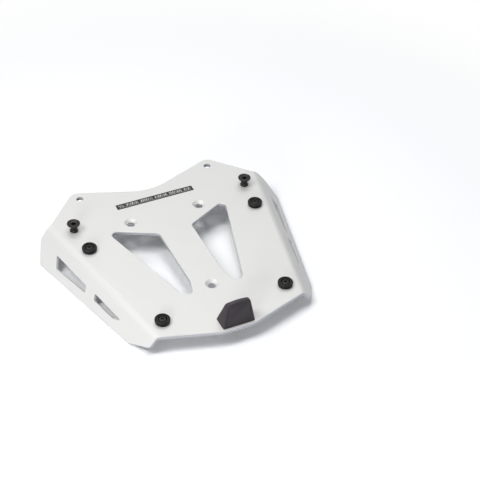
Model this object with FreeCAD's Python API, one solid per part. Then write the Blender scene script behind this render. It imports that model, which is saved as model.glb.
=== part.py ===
"""Folded aluminium carrier plate that holds a top case on the tail of a motorcycle.

One sheet is cut, folded down along both sides and dressed with two case studs, four rubber
buffers, a printed strip and a moulded latch block. All lengths are millimetres.

Frame: the origin is midway between the two front bike bolts, on the deck's underside, which
bears on the motorcycle. +X is the rider's right, +Y is forward to the seat and +Z is up.
The pieces are drawn with the deck's top face at height 0, and all are raised together at the end.
"""

import FreeCAD
import Part

import math
import os

Vector = FreeCAD.Vector

# Sheet and its two folds. The fold line is where the flat outer faces would meet.
SHEET_THICKNESS = 5.0
BEND_INNER_RADIUS = 6.5
BEND_ANGLE = 51.2
FOLD_FRONT_X = 141.8
FOLD_FRONT_Y = 31.8
FOLD_REAR_X = 94.8
FOLD_REAR_Y = -198.7
FOLD_FRONT_OVERRUN = 2.8
FOLD_REAR_OVERRUN = 1.4
FOLD_END_RUN = 0.6
FOLD_END_RADIUS = 1.3
RIM_CHAMFER = 0.7

# Deck outline. Beside each fold it turns square to the fold, at a distance across it, outboard positive.
EAR_CORNER_X = 93.5
EAR_CORNER_Y = 84.5
EAR_CORNER_RADIUS = 12.0
EAR_SIDE_END_ACROSS = -3.7
EAR_SIDE_END_RADIUS = 8.0
VALLEY_CORNER_Y = 50.0
VALLEY_RADIUS = 70.0
REAR_CORNER_X = 19.5
REAR_EDGE_Y = -222.8
REAR_CORNER_RADIUS = 30.0
REAR_EDGE_END_ACROSS = -1.0
BLANK_MARGIN = 60.0

# Flank outline, as distances along the fold from its front end and down the flank from the fold
FLANK_FRONT_DROP = 20.5
FLANK_FRONT_RADIUS = 12.0
FLANK_LOW_ALONG = 18.1
FLANK_LOW_DROP = 43.7
FLANK_LOW_RADIUS = 6.0
FLANK_REAR_ALONG = 206.2
FLANK_REAR_DROP = 30.4
FLANK_REAR_RADIUS = 20.0
FLANK_TAIL_ALONG = 234.6
FLANK_TAIL_DROP = 16.6
FLANK_TAIL_RADIUS = 3.0

# Flank slots, in the same two directions
SLOT_UPPER_DROP = 19.3
LONG_SLOT_START = 35.3
LONG_SLOT_LENGTH = 67.4
LONG_SLOT_REAR_SLANT = 5.0
LONG_SLOT_FRONT_SLANT = 10.9
LONG_SLOT_FRONT_WIDTH = 13.0
LONG_SLOT_REAR_WIDTH = 7.2
SHORT_SLOT_GAP = 19.0
SHORT_SLOT_RISE = 1.4
SHORT_SLOT_LENGTH = 55.8
SHORT_SLOT_FRONT_SLANT = 4.1
SHORT_SLOT_FRONT_WIDTH = 7.1
SHORT_SLOT_POINT_LENGTH = 12.8
SHORT_SLOT_POINT_WIDTH = 5.6
SLOT_CORNER_RADIUS = 1.2
SLOT_POINT_RADIUS = 0.6

# Deck windows
SPINE_HALF_WIDTH = 21.7
WINDOW_FRONT_INNER_Y = -32.9
WINDOW_FRONT_OUTER_X = 80.6
WINDOW_FRONT_OUTER_Y = -3.6
WINDOW_REAR_Y = -148.3
WINDOW_REAR_OUTER_X = 38.9
WINDOW_REAR_INNER_X = 27.0
WINDOW_SPINE_END_Y = -128.0
WINDOW_FRONT_INNER_RADIUS = 7.0
WINDOW_FRONT_OUTER_RADIUS = 6.5
WINDOW_REAR_OUTER_RADIUS = 10.0
WINDOW_REAR_INNER_RADIUS = 5.0
WINDOW_SPINE_END_RADIUS = 30.0

# Bike bolt holes, countersunk from above, and the two plain holes in the ears
BIKE_BOLT_HALF_SPACING = 46.2
BIKE_BOLT_REAR_Y = -143.2
BIKE_BOLT_HOLE_RADIUS = 4.55
COUNTERSINK_RADIUS = 8.2
COUNTERSINK_ANGLE = 90.0
EAR_HOLE_X = 88.6
EAR_HOLE_Y = 68.7
EAR_HOLE_RADIUS = 4.5

# Case studs: a turned mushroom with a dished head and a socket, threaded below its collar
STUD_FOLD_INSET = 21.7
STUD_Y = 13.3
STUD_HEIGHT = 11.8
STUD_HEAD_RADIUS = 8.1
STUD_HEAD_EDGE = 1.2
STUD_DISH_RADIUS = 6.2
STUD_DISH_DEPTH = 0.8
STUD_NECK_RADIUS = 4.35
STUD_COLLAR_RADIUS = 5.2
STUD_COLLAR_HEIGHT = 2.6
STUD_SOCKET_FLATS = 5.0
STUD_SOCKET_DEPTH = 4.0
STUD_THREAD_RADIUS = 4.0
STUD_HOLE_CLEARANCE = 0.2
STUD_WASHER_RADIUS = 8.0
STUD_WASHER_THICKNESS = 1.6
STUD_NUT_FLATS = 13.0
STUD_NUT_HEIGHT = 8.0

# Rubber buffers and the socket screws through them
BUFFER_FRONT_FOLD_INSET = 17.96
BUFFER_FRONT_Y = -29.0
BUFFER_REAR_FOLD_INSET = 20.01
BUFFER_REAR_Y = -179.7
BUFFER_RADIUS = 9.2
BUFFER_HEIGHT = 5.5
BUFFER_FOOT_HEIGHT = 1.4
BUFFER_FOOT_INSET = 0.5
BUFFER_EDGE_ROUNDING = 0.8
BUFFER_RIM_WIDTH = 1.9
BUFFER_GROOVE_WIDTH = 0.9
BUFFER_GROOVE_DEPTH = 0.9
BUFFER_RING_WIDTH = 1.1
BUFFER_RING_DROP = 0.3
BUFFER_SEAT_THICKNESS = 2.6
BUFFER_SCREW_RADIUS = 2.5
BUFFER_SCREW_CLEARANCE = 0.25
BUFFER_SCREW_HEAD_RADIUS = 4.5
BUFFER_SCREW_HEAD_HEIGHT = 2.5
BUFFER_SCREW_SOCKET_FLATS = 4.0
BUFFER_SCREW_SOCKET_DEPTH = 1.9
BUFFER_WASHER_RADIUS = 5.0
BUFFER_WASHER_THICKNESS = 1.0
BUFFER_NUT_FLATS = 8.0
BUFFER_NUT_HEIGHT = 5.0

# Printed strip
STRIP_LENGTH = 104.4
STRIP_WIDTH = 9.2
STRIP_THICKNESS = 0.3
STRIP_CORNER_RADIUS = 0.6
STRIP_CENTRE_Y = 33.7

# Latch block
BLOCK_LEDGE = 3.0
BLOCK_DEPTH = 20.7
BLOCK_BASE_HALF_WIDTH = 20.2
BLOCK_RIDGE_HALF_WIDTH = 14.8
BLOCK_HEIGHT = 33.7
BLOCK_CROWN_RISE = 2.4
BLOCK_CROWN_RADIUS = 28.0
BLOCK_SHOULDER_RADIUS = 5.0
BLOCK_RIDGE_SETBACK = 3.4
BLOCK_RIDGE_THICKNESS = 5.0
BLOCK_EDGE_ROUNDING = 1.8
BLOCK_SCREW_END_MARGIN = 2.2
BLOCK_SCREW_DEPTH_SHARE = 0.5
BLOCK_SCREW_RADIUS = 3.0
BLOCK_SCREW_CLEARANCE = 0.3
BLOCK_SCREW_GRIP = 12.0
BLOCK_SCREW_TIP_GAP = 2.0
BLOCK_SCREW_HEAD_RADIUS = 5.25
BLOCK_SCREW_HEAD_HEIGHT = 3.3
BLOCK_SCREW_SOCKET_FLATS = 4.0
BLOCK_SCREW_SOCKET_DEPTH = 2.2
BLOCK_WASHER_RADIUS = 6.0
BLOCK_WASHER_THICKNESS = 1.6

# Shared fastener details
WASHER_CLEARANCE = 0.2
THREAD_PROTRUSION = 1.6
THREAD_CHAMFER = 0.5
NUT_COLLAR_HEIGHT_SHARE = 0.3
NUT_COLLAR_RADIUS_SHARE = 0.44
NUT_COLLAR_EDGE_SHARE = 0.33
SCREW_HEAD_EDGE_SHARE = 0.25
DRILL_MARGIN = 1.0
PARALLEL_TOLERANCE = 1e-6

SIDES = {"left": -1, "right": 1}


def rounded_outline(corners):
    """Return a closed wire in the XY plane through corners of (x, y, radius)."""
    edges = []
    starts = []
    ends = []
    for index, (x, y, radius) in enumerate(corners):
        corner = Vector(x, y, 0)
        before = Vector(*corners[index - 1][:2], 0) - corner
        after = Vector(*corners[(index + 1) % len(corners)][:2], 0) - corner
        before.normalize()
        after.normalize()
        if radius == 0:
            starts.append(corner)
            ends.append(corner)
            edges.append(None)
            continue
        half_angle = before.getAngle(after) / 2
        start = corner + before * (radius / math.tan(half_angle))
        end = corner + after * (radius / math.tan(half_angle))
        inward = before + after
        inward.normalize()
        middle = corner + inward * (radius / math.sin(half_angle) - radius)
        starts.append(start)
        ends.append(end)
        edges.append(Part.Arc(start, middle, end).toShape())
    joined = []
    for index, arc in enumerate(edges):
        if arc is not None:
            joined.append(arc)
        following = starts[(index + 1) % len(corners)]
        joined.append(Part.LineSegment(ends[index], following).toShape())
    return Part.Wire(joined)


def prism(corners, low, high):
    """Return the solid between two heights over a rounded outline."""
    face = Part.Face(rounded_outline(corners))
    face.translate(Vector(0, 0, low))
    return face.extrude(Vector(0, 0, high - low))


def turned(profile):
    """Return the solid that a closed (radius, height) profile sweeps about the Z axis."""
    points = [Vector(radius, 0, height) for radius, height in profile]
    face = Part.Face(Part.makePolygon(points + points[:1]))
    return face.revolve(Vector(0, 0, 0), Vector(0, 0, 1), 360)


def hexagon(flats, low, high):
    """Return a hexagonal prism of the given width across flats."""
    reach = flats / math.sqrt(3)
    corners = [(reach * math.cos(math.radians(a)), reach * math.sin(math.radians(a)), 0)
               for a in range(0, 360, 60)]
    return prism(corners, low, high)


def mirrored(shape):
    """Return the shape reflected across the rack's middle plane."""
    return shape.mirror(Vector(0, 0, 0), Vector(1, 0, 0))


def moved(shape, x, y, z=0.0):
    """Return a copy of the shape shifted by x, y and z."""
    copy = shape.copy()
    copy.translate(Vector(x, y, z))
    return copy


def fold_length():
    """Return the length of the fold line."""
    return math.hypot(FOLD_REAR_X - FOLD_FRONT_X, FOLD_REAR_Y - FOLD_FRONT_Y)


def bend_setback():
    """Return how far each tangent line of the bend lies from the fold line."""
    outer_radius = BEND_INNER_RADIUS + SHEET_THICKNESS
    return outer_radius * math.tan(math.radians(BEND_ANGLE) / 2)


def fold_placement():
    """Return the right fold's frame: x rearward along it, y outboard and z up."""
    heading = math.degrees(math.atan2(FOLD_REAR_Y - FOLD_FRONT_Y, FOLD_REAR_X - FOLD_FRONT_X))
    turn = FreeCAD.Rotation(Vector(0, 0, 1), heading)
    return FreeCAD.Placement(Vector(FOLD_FRONT_X, FOLD_FRONT_Y, 0), turn)


def flank_placement():
    """Return the right flank's frame: x along the fold, y down the flank and z outward."""
    droop = FreeCAD.Placement(Vector(0, 0, 0), FreeCAD.Rotation(Vector(1, 0, 0), -BEND_ANGLE))
    return fold_placement().multiply(droop)


def fold_point(along, across):
    """Return the X and Y of a point of the deck given in the right fold's frame."""
    point = fold_placement().multVec(Vector(along, across, 0))
    return point.x, point.y


def fold_x(y):
    """Return the right fold line's X at a given Y."""
    share = (y - FOLD_FRONT_Y) / (FOLD_REAR_Y - FOLD_FRONT_Y)
    return FOLD_FRONT_X + share * (FOLD_REAR_X - FOLD_FRONT_X)


def deck_blank():
    """Return an oversized flat deck that ends at the tangent lines of both bends."""
    tangent = -bend_setback()
    right_side = [
        (*fold_point(-BLANK_MARGIN, tangent), 0),
        (*fold_point(fold_length() + BLANK_MARGIN, tangent), 0),
    ]
    left_side = [(-x, y, radius) for x, y, radius in reversed(right_side)]
    return prism(right_side + left_side, -SHEET_THICKNESS, 0)


def top_outline():
    """Return the upright prism whose outline, seen from above, trims the deck and both bends."""
    front = -FOLD_FRONT_OVERRUN
    rear = fold_length() + FOLD_REAR_OVERRUN
    beyond = BLANK_MARGIN
    right_side = [
        (EAR_CORNER_X, EAR_CORNER_Y, EAR_CORNER_RADIUS),
        (*fold_point(front, EAR_SIDE_END_ACROSS), EAR_SIDE_END_RADIUS),
        (*fold_point(front, beyond), 0),
        (*fold_point(rear, beyond), 0),
        (*fold_point(rear, REAR_EDGE_END_ACROSS), FOLD_END_RADIUS),
        (REAR_CORNER_X, REAR_EDGE_Y, REAR_CORNER_RADIUS),
    ]
    left_side = [(-x, y, radius) for x, y, radius in reversed(right_side)]
    valley = [(0, VALLEY_CORNER_Y, VALLEY_RADIUS)]
    return prism(valley + right_side + left_side, -BLANK_MARGIN, DRILL_MARGIN)


def bend_blank():
    """Return the right bend, an overlong sector of a tube along the fold."""
    outer_radius = BEND_INNER_RADIUS + SHEET_THICKNESS
    centre = Vector(-BLANK_MARGIN, -bend_setback(), -outer_radius)

    def rim_point(radius, share):
        angle = math.radians(BEND_ANGLE) * share
        return centre + Vector(0, radius * math.sin(angle), radius * math.cos(angle))

    outer = Part.Arc(*[rim_point(outer_radius, share) for share in (0, 0.5, 1)]).toShape()
    inner = Part.Arc(*[rim_point(BEND_INNER_RADIUS, share) for share in (1, 0.5, 0)]).toShape()
    down = Part.LineSegment(rim_point(outer_radius, 1), rim_point(BEND_INNER_RADIUS, 1)).toShape()
    up = Part.LineSegment(rim_point(BEND_INNER_RADIUS, 0), rim_point(outer_radius, 0)).toShape()
    section = Part.Face(Part.Wire([outer, down, inner, up]))
    sector = section.extrude(Vector(fold_length() + 2 * BLANK_MARGIN, 0, 0))
    sector.Placement = fold_placement().multiply(sector.Placement)
    return sector


def flank_sheet():
    """Return the right flank from its tangent line to its lower edge."""
    rear = fold_length() + FOLD_REAR_OVERRUN
    corners = [
        (-FOLD_FRONT_OVERRUN, bend_setback(), 0),
        (-FOLD_FRONT_OVERRUN, FLANK_FRONT_DROP, FLANK_FRONT_RADIUS),
        (FLANK_LOW_ALONG, FLANK_LOW_DROP, FLANK_LOW_RADIUS),
        (FLANK_REAR_ALONG, FLANK_REAR_DROP, FLANK_REAR_RADIUS),
        (FLANK_TAIL_ALONG, FLANK_TAIL_DROP, FLANK_TAIL_RADIUS),
        (rear, bend_setback() + FOLD_END_RUN, FOLD_END_RADIUS),
        (rear, bend_setback(), 0),
    ]
    sheet = prism(corners, -SHEET_THICKNESS, 0)
    sheet.Placement = flank_placement().multiply(sheet.Placement)
    return sheet


def slot_cutters():
    """Return the cutters of the right flank's two slots."""
    long_end = LONG_SLOT_START + LONG_SLOT_LENGTH
    long_slot = [
        (LONG_SLOT_START, SLOT_UPPER_DROP, SLOT_CORNER_RADIUS),
        (long_end, SLOT_UPPER_DROP, SLOT_CORNER_RADIUS),
        (long_end + LONG_SLOT_REAR_SLANT, SLOT_UPPER_DROP + LONG_SLOT_REAR_WIDTH, SLOT_CORNER_RADIUS),
        (LONG_SLOT_START + LONG_SLOT_FRONT_SLANT, SLOT_UPPER_DROP + LONG_SLOT_FRONT_WIDTH,
         SLOT_CORNER_RADIUS),
    ]
    short_start = long_end + SHORT_SLOT_GAP
    short_top = SLOT_UPPER_DROP - SHORT_SLOT_RISE
    short_end = short_start + SHORT_SLOT_LENGTH
    short_slot = [
        (short_start, short_top, SLOT_CORNER_RADIUS),
        (short_end, short_top, SLOT_POINT_RADIUS),
        (short_end - SHORT_SLOT_POINT_LENGTH, short_top + SHORT_SLOT_POINT_WIDTH, SLOT_CORNER_RADIUS),
        (short_start + SHORT_SLOT_FRONT_SLANT, short_top + SHORT_SLOT_FRONT_WIDTH, SLOT_CORNER_RADIUS),
    ]
    cutters = []
    for corners in (long_slot, short_slot):
        cutter = prism(corners, -SHEET_THICKNESS - DRILL_MARGIN, DRILL_MARGIN)
        cutter.Placement = flank_placement().multiply(cutter.Placement)
        cutters.append(cutter)
    return cutters


def window_cutter():
    """Return the cutter of the right deck window."""
    corners = [
        (SPINE_HALF_WIDTH, WINDOW_FRONT_INNER_Y, WINDOW_FRONT_INNER_RADIUS),
        (WINDOW_FRONT_OUTER_X, WINDOW_FRONT_OUTER_Y, WINDOW_FRONT_OUTER_RADIUS),
        (WINDOW_REAR_OUTER_X, WINDOW_REAR_Y, WINDOW_REAR_OUTER_RADIUS),
        (WINDOW_REAR_INNER_X, WINDOW_REAR_Y, WINDOW_REAR_INNER_RADIUS),
        (SPINE_HALF_WIDTH, WINDOW_SPINE_END_Y, WINDOW_SPINE_END_RADIUS),
    ]
    return prism(corners, -SHEET_THICKNESS - DRILL_MARGIN, DRILL_MARGIN)


def is_skin(face):
    """Tell whether a face is part of the sheet's broad surfaces and not a cut edge."""
    surface = face.Surface
    outward = flank_placement().Rotation.multVec(Vector(0, 0, 1))
    fold = fold_placement().Rotation.multVec(Vector(1, 0, 0))
    if isinstance(surface, Part.Plane):
        normals = [Vector(0, 0, 1), outward, Vector(-outward.x, outward.y, outward.z)]
        return any(surface.Axis.cross(normal).Length < PARALLEL_TOLERANCE for normal in normals)
    if isinstance(surface, Part.Cylinder):
        folds = [fold, Vector(-fold.x, fold.y, 0)]
        return any(surface.Axis.cross(direction).Length < PARALLEL_TOLERANCE for direction in folds)
    return False


def rim_edges(sheet):
    """Return the edges where a broad surface of the sheet meets a cut edge."""
    rims = []
    for edge in sheet.Edges:
        faces = sheet.ancestorsOfType(edge, Part.Face)
        if sum(is_skin(face) for face in faces) == 1:
            rims.append(edge)
    return rims


def stud_x():
    """Return the right stud's X, set in from the fold."""
    return fold_x(STUD_Y) - STUD_FOLD_INSET


def buffer_places():
    """Return each right buffer's name and place, set in from the fold."""
    return {
        "front": (fold_x(BUFFER_FRONT_Y) - BUFFER_FRONT_FOLD_INSET, BUFFER_FRONT_Y),
        "rear": (fold_x(BUFFER_REAR_Y) - BUFFER_REAR_FOLD_INSET, BUFFER_REAR_Y),
    }


def block_screw_place(side):
    """Return the X and Y of the latch block's screw on one side, -1 or 1.

    It stands halfway from the middle plane to a line just inside the block's end.
    """
    x = side * (BLOCK_BASE_HALF_WIDTH - BLOCK_SCREW_END_MARGIN) / 2
    return x, REAR_EDGE_Y + BLOCK_LEDGE + BLOCK_DEPTH * BLOCK_SCREW_DEPTH_SHARE


def drill(radius, x, y):
    """Return a plain drill through the deck."""
    height = SHEET_THICKNESS + 2 * DRILL_MARGIN
    return Part.makeCylinder(radius, height, Vector(x, y, -SHEET_THICKNESS - DRILL_MARGIN))


def countersink(x, y):
    """Return a countersunk drill for a bike bolt."""
    slope = math.tan(math.radians(COUNTERSINK_ANGLE) / 2)
    depth = (COUNTERSINK_RADIUS - BIKE_BOLT_HOLE_RADIUS) / slope
    cone = turned([
        (0, -depth),
        (BIKE_BOLT_HOLE_RADIUS, -depth),
        (COUNTERSINK_RADIUS + DRILL_MARGIN * slope, DRILL_MARGIN),
        (0, DRILL_MARGIN),
    ])
    return drill(BIKE_BOLT_HOLE_RADIUS, x, y).fuse(moved(cone, x, y))


def rack_plate():
    """Return the whole folded sheet with its windows, slots and holes."""
    right_bend = bend_blank()
    blank = deck_blank().fuse([right_bend, mirrored(right_bend)])
    right_flank = flank_sheet()
    sheet = blank.common(top_outline()).fuse([right_flank, mirrored(right_flank)]).removeSplitter()
    right_cutters = slot_cutters() + [window_cutter()]
    sheet = sheet.cut(right_cutters + [mirrored(cutter) for cutter in right_cutters])
    sheet = sheet.makeChamfer(RIM_CHAMFER, rim_edges(sheet))
    drills = [countersink(0, BIKE_BOLT_REAR_Y)]
    for side in SIDES.values():
        drills.append(countersink(side * BIKE_BOLT_HALF_SPACING, 0))
        drills.append(drill(EAR_HOLE_RADIUS, side * EAR_HOLE_X, EAR_HOLE_Y))
        drills.append(drill(STUD_THREAD_RADIUS + STUD_HOLE_CLEARANCE, side * stud_x(), STUD_Y))
        drills.append(drill(BLOCK_SCREW_RADIUS + BLOCK_SCREW_CLEARANCE, *block_screw_place(side)))
        for x, y in buffer_places().values():
            drills.append(drill(BUFFER_SCREW_RADIUS + BUFFER_SCREW_CLEARANCE, side * x, y))
    return sheet.cut(drills)


def label_strip():
    """Return the thin printed strip behind the front edge."""
    half_length = STRIP_LENGTH / 2
    half_width = STRIP_WIDTH / 2
    corners = [(x, y, STRIP_CORNER_RADIUS) for x, y in (
        (-half_length, -half_width), (half_length, -half_width),
        (half_length, half_width), (-half_length, half_width))]
    return moved(prism(corners, 0, STRIP_THICKNESS), 0, STRIP_CENTRE_Y)


def washer(radius, bore_radius, thickness, top):
    """Return a flat washer whose upper face lies at a given height."""
    return turned([
        (bore_radius, top - thickness),
        (radius, top - thickness),
        (radius, top),
        (bore_radius, top),
    ])


def lock_nut(flats, height, bore_radius, top):
    """Return a nut that is screwed on from below, with a round locking collar at its free end."""
    collar_height = height * NUT_COLLAR_HEIGHT_SHARE
    collar_radius = flats * NUT_COLLAR_RADIUS_SHARE
    low = top - height
    edge = collar_height * NUT_COLLAR_EDGE_SHARE
    collar = turned([
        (0, low),
        (collar_radius - edge, low),
        (collar_radius, low + edge),
        (collar_radius, low + collar_height),
        (0, low + collar_height),
    ])
    bore = Part.makeCylinder(bore_radius, height, Vector(0, 0, low))
    return hexagon(flats, low + collar_height, top).fuse(collar).removeSplitter().cut(bore)


def case_stud():
    """Return a case stud whose collar stands on the deck."""
    thread_end = -(SHEET_THICKNESS + STUD_WASHER_THICKNESS + STUD_NUT_HEIGHT + THREAD_PROTRUSION)
    head_underside = STUD_HEIGHT - STUD_HEAD_EDGE
    cone_height = STUD_HEAD_RADIUS - STUD_NECK_RADIUS
    flare = STUD_COLLAR_RADIUS - STUD_NECK_RADIUS
    body = turned([
        (0, thread_end),
        (STUD_THREAD_RADIUS - THREAD_CHAMFER, thread_end),
        (STUD_THREAD_RADIUS, thread_end + THREAD_CHAMFER),
        (STUD_THREAD_RADIUS, 0),
        (STUD_COLLAR_RADIUS, 0),
        (STUD_COLLAR_RADIUS, STUD_COLLAR_HEIGHT - flare),
        (STUD_NECK_RADIUS, STUD_COLLAR_HEIGHT),
        (STUD_NECK_RADIUS, head_underside - cone_height),
        (STUD_HEAD_RADIUS, head_underside),
        (STUD_HEAD_RADIUS, STUD_HEIGHT),
        (STUD_DISH_RADIUS + STUD_DISH_DEPTH, STUD_HEIGHT),
        (STUD_DISH_RADIUS, STUD_HEIGHT - STUD_DISH_DEPTH),
        (0, STUD_HEIGHT - STUD_DISH_DEPTH),
    ])
    floor = STUD_HEIGHT - STUD_DISH_DEPTH - STUD_SOCKET_DEPTH
    return body.cut(hexagon(STUD_SOCKET_FLATS, floor, STUD_HEIGHT))


def buffer_bore_radius():
    """Return the radius of the hole through a buffer."""
    return BUFFER_SCREW_RADIUS + BUFFER_SCREW_CLEARANCE


def rubber_buffer():
    """Return a rubber buffer: a foot, a rim, a groove and a ring round the screw's recess."""
    foot_radius = BUFFER_RADIUS - BUFFER_FOOT_INSET
    groove_outer = BUFFER_RADIUS - BUFFER_RIM_WIDTH
    groove_inner = groove_outer - BUFFER_GROOVE_WIDTH
    recess_radius = groove_inner - BUFFER_RING_WIDTH
    groove_floor = BUFFER_HEIGHT - BUFFER_GROOVE_DEPTH
    return turned([
        (buffer_bore_radius(), 0),
        (foot_radius, 0),
        (foot_radius, BUFFER_FOOT_HEIGHT),
        (BUFFER_RADIUS, BUFFER_FOOT_HEIGHT + BUFFER_FOOT_INSET),
        (BUFFER_RADIUS, BUFFER_HEIGHT - BUFFER_EDGE_ROUNDING),
        (BUFFER_RADIUS - BUFFER_EDGE_ROUNDING, BUFFER_HEIGHT),
        (groove_outer, BUFFER_HEIGHT),
        (groove_outer, groove_floor),
        (groove_inner, groove_floor),
        (groove_inner, BUFFER_HEIGHT - BUFFER_RING_DROP),
        (recess_radius, BUFFER_HEIGHT - BUFFER_RING_DROP),
        (recess_radius, BUFFER_SEAT_THICKNESS),
        (buffer_bore_radius(), BUFFER_SEAT_THICKNESS),
    ])


def socket_screw(head_radius, head_height, flats, socket_depth, radius, length):
    """Return a low-headed socket screw that points down, with its head's seat at height 0."""
    edge = head_height * SCREW_HEAD_EDGE_SHARE
    body = turned([
        (0, -length),
        (radius - THREAD_CHAMFER, -length),
        (radius, THREAD_CHAMFER - length),
        (radius, 0),
        (head_radius, 0),
        (head_radius, head_height - edge),
        (head_radius - edge, head_height),
        (0, head_height),
    ])
    return body.cut(hexagon(flats, head_height - socket_depth, head_height + DRILL_MARGIN))


def buffer_screw():
    """Return the screw that clamps a buffer to the deck."""
    stack = BUFFER_SEAT_THICKNESS + SHEET_THICKNESS + BUFFER_WASHER_THICKNESS + BUFFER_NUT_HEIGHT
    screw = socket_screw(BUFFER_SCREW_HEAD_RADIUS, BUFFER_SCREW_HEAD_HEIGHT, BUFFER_SCREW_SOCKET_FLATS,
                         BUFFER_SCREW_SOCKET_DEPTH, BUFFER_SCREW_RADIUS, stack + THREAD_PROTRUSION)
    return moved(screw, 0, 0, BUFFER_SEAT_THICKNESS)


def block_screw():
    """Return the screw that holds the latch block from below."""
    length = BLOCK_WASHER_THICKNESS + SHEET_THICKNESS + BLOCK_SCREW_GRIP
    screw = socket_screw(BLOCK_SCREW_HEAD_RADIUS, BLOCK_SCREW_HEAD_HEIGHT, BLOCK_SCREW_SOCKET_FLATS,
                         BLOCK_SCREW_SOCKET_DEPTH, BLOCK_SCREW_RADIUS, length)
    screw.rotate(Vector(0, 0, 0), Vector(1, 0, 0), 180)
    return moved(screw, 0, 0, -SHEET_THICKNESS - BLOCK_WASHER_THICKNESS)


def latch_block():
    """Return the moulded wedge: its front view and side view crossed, with rounded edges."""
    front_y = REAR_EDGE_Y + BLOCK_LEDGE
    back_y = front_y + BLOCK_DEPTH
    shoulder = BLOCK_HEIGHT - BLOCK_CROWN_RISE
    front_view = rounded_outline([
        (-BLOCK_BASE_HALF_WIDTH, 0, 0),
        (BLOCK_BASE_HALF_WIDTH, 0, 0),
        (BLOCK_RIDGE_HALF_WIDTH, shoulder, BLOCK_SHOULDER_RADIUS),
        (0, BLOCK_HEIGHT, BLOCK_CROWN_RADIUS),
        (-BLOCK_RIDGE_HALF_WIDTH, shoulder, BLOCK_SHOULDER_RADIUS),
    ])
    front_face = Part.Face(front_view)
    front_face.rotate(Vector(0, 0, 0), Vector(1, 0, 0), 90)
    front_face.translate(Vector(0, back_y, 0))
    across = front_face.extrude(Vector(0, -BLOCK_DEPTH, 0))
    ridge_y = front_y + BLOCK_RIDGE_SETBACK
    side_view = Part.makePolygon([
        Vector(-BLOCK_BASE_HALF_WIDTH, front_y, 0),
        Vector(-BLOCK_BASE_HALF_WIDTH, back_y, 0),
        Vector(-BLOCK_BASE_HALF_WIDTH, ridge_y + BLOCK_RIDGE_THICKNESS, BLOCK_HEIGHT),
        Vector(-BLOCK_BASE_HALF_WIDTH, ridge_y, BLOCK_HEIGHT),
        Vector(-BLOCK_BASE_HALF_WIDTH, front_y, 0),
    ])
    along = Part.Face(side_view).extrude(Vector(2 * BLOCK_BASE_HALF_WIDTH, 0, 0))
    wedge = across.common(along).removeSplitter()
    upper_edges = [edge for edge in wedge.Edges if edge.BoundBox.ZMax > BLOCK_EDGE_ROUNDING]
    wedge = wedge.makeFillet(BLOCK_EDGE_ROUNDING, upper_edges)
    hole_depth = BLOCK_SCREW_GRIP + BLOCK_SCREW_TIP_GAP
    for side in SIDES.values():
        place = Vector(*block_screw_place(side), 0)
        wedge = wedge.cut(Part.makeCylinder(BLOCK_SCREW_RADIUS, hole_depth, place))
    return wedge


def make_parts():
    """Return every piece of the rack by its name."""
    under_deck = -SHEET_THICKNESS
    stud_washer = washer(STUD_WASHER_RADIUS, STUD_THREAD_RADIUS + WASHER_CLEARANCE,
                         STUD_WASHER_THICKNESS, under_deck)
    stud_nut = lock_nut(STUD_NUT_FLATS, STUD_NUT_HEIGHT, STUD_THREAD_RADIUS,
                        under_deck - STUD_WASHER_THICKNESS)
    buffer_washer = washer(BUFFER_WASHER_RADIUS, BUFFER_SCREW_RADIUS + WASHER_CLEARANCE,
                           BUFFER_WASHER_THICKNESS, under_deck)
    buffer_nut = lock_nut(BUFFER_NUT_FLATS, BUFFER_NUT_HEIGHT, BUFFER_SCREW_RADIUS,
                          under_deck - BUFFER_WASHER_THICKNESS)
    block_washer = washer(BLOCK_WASHER_RADIUS, BLOCK_SCREW_RADIUS + WASHER_CLEARANCE,
                          BLOCK_WASHER_THICKNESS, under_deck)
    parts = {
        "rack_plate": rack_plate(),
        "label_strip": label_strip(),
        "latch_block": latch_block(),
    }
    for side, sign in SIDES.items():
        x = sign * stud_x()
        parts[f"case_stud_{side}"] = moved(case_stud(), x, STUD_Y)
        parts[f"stud_washer_{side}"] = moved(stud_washer, x, STUD_Y)
        parts[f"stud_nut_{side}"] = moved(stud_nut, x, STUD_Y)
        place = block_screw_place(sign)
        parts[f"latch_block_screw_{side}"] = moved(block_screw(), *place)
        parts[f"latch_block_washer_{side}"] = moved(block_washer, *place)
        for end, (right_x, y) in buffer_places().items():
            x = sign * right_x
            parts[f"buffer_{end}_{side}"] = moved(rubber_buffer(), x, y)
            parts[f"buffer_screw_{end}_{side}"] = moved(buffer_screw(), x, y)
            parts[f"buffer_washer_{end}_{side}"] = moved(buffer_washer, x, y)
            parts[f"buffer_nut_{end}_{side}"] = moved(buffer_nut, x, y)
    return parts


os.makedirs("parts", exist_ok=True)
for node, solid in make_parts().items():
    moved(solid, 0, 0, SHEET_THICKNESS).exportStep(f"parts/{node}.step")
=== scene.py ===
"""Looks of a folded aluminium top case carrier: its finishes, its dressed fittings and a pale studio.

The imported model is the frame. The folded sheet and the printed strip keep their shapes and get their
finishes here. The fittings are modelled again in the places of their nodes, with rounded edges, sockets
and threads. Sizes are millimetres where no other unit is named, and heights are measured from the
deck's top face.
"""

import logging
import math
from dataclasses import dataclass
from enum import Enum

import bpy
from mathutils import Matrix, Vector

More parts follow.
